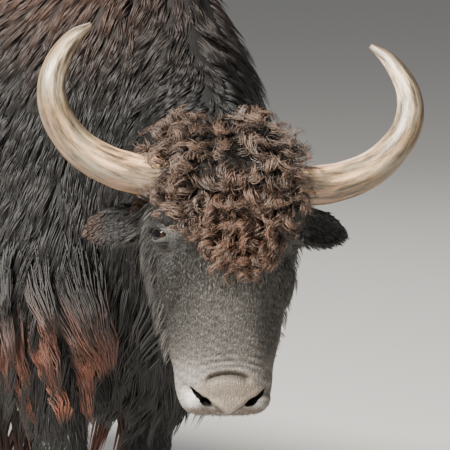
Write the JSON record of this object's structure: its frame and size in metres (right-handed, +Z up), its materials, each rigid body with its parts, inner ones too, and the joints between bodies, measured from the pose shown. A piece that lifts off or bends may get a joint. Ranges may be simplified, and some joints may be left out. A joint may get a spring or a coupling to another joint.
{
  "type": "yak",
  "caption": "Life-size domestic yak, standing on all fours with its head lowered and turned to its right, with long flank hair and wide upswept horns.",
  "frame": {"origin": "on the floor, under the middle of the animal's bounding box", "axes": "+Z up, the yak's body faces -Y, +X is its left side"},
  "size_m": [0.8106, 2.135, 1.382],
  "materials": {
    "coat": "long dark hair, nearly black, rusty at the tips",
    "face": "short grey-brown hair with a curly brown forehead",
    "horn": "ivory horn with grey-brown grain, low sheen",
    "hoof": "dark horn, worn",
    "eye": "wet, very dark brown"
  },
  "bodies": {
    "root": {"head": "face", "torso": "coat", "neck": "coat", "brisket": "coat", "tail": "coat", "flank_left": "coat", "flank_right": "coat", "foreleg_left_upper": "coat", "foreleg_left_lower": "coat", "foreleg_right_upper": "coat", "foreleg_right_lower": "coat", "hindleg_left_upper": "coat", "hindleg_left_lower": "coat", "hindleg_right_upper": "coat", "hindleg_right_lower": "coat", "ear_left": "coat", "ear_right": "coat", "horn_left": "horn", "horn_right": "horn", "eye_left": "eye", "eye_right": "eye", "claw_fore_left_outer": "hoof", "claw_fore_left_inner": "hoof", "claw_fore_right_outer": "hoof", "claw_fore_right_inner": "hoof", "claw_hind_left_outer": "hoof", "claw_hind_left_inner": "hoof", "claw_hind_right_outer": "hoof", "claw_hind_right_inner": "hoof"}
  },
  "joints": []
}
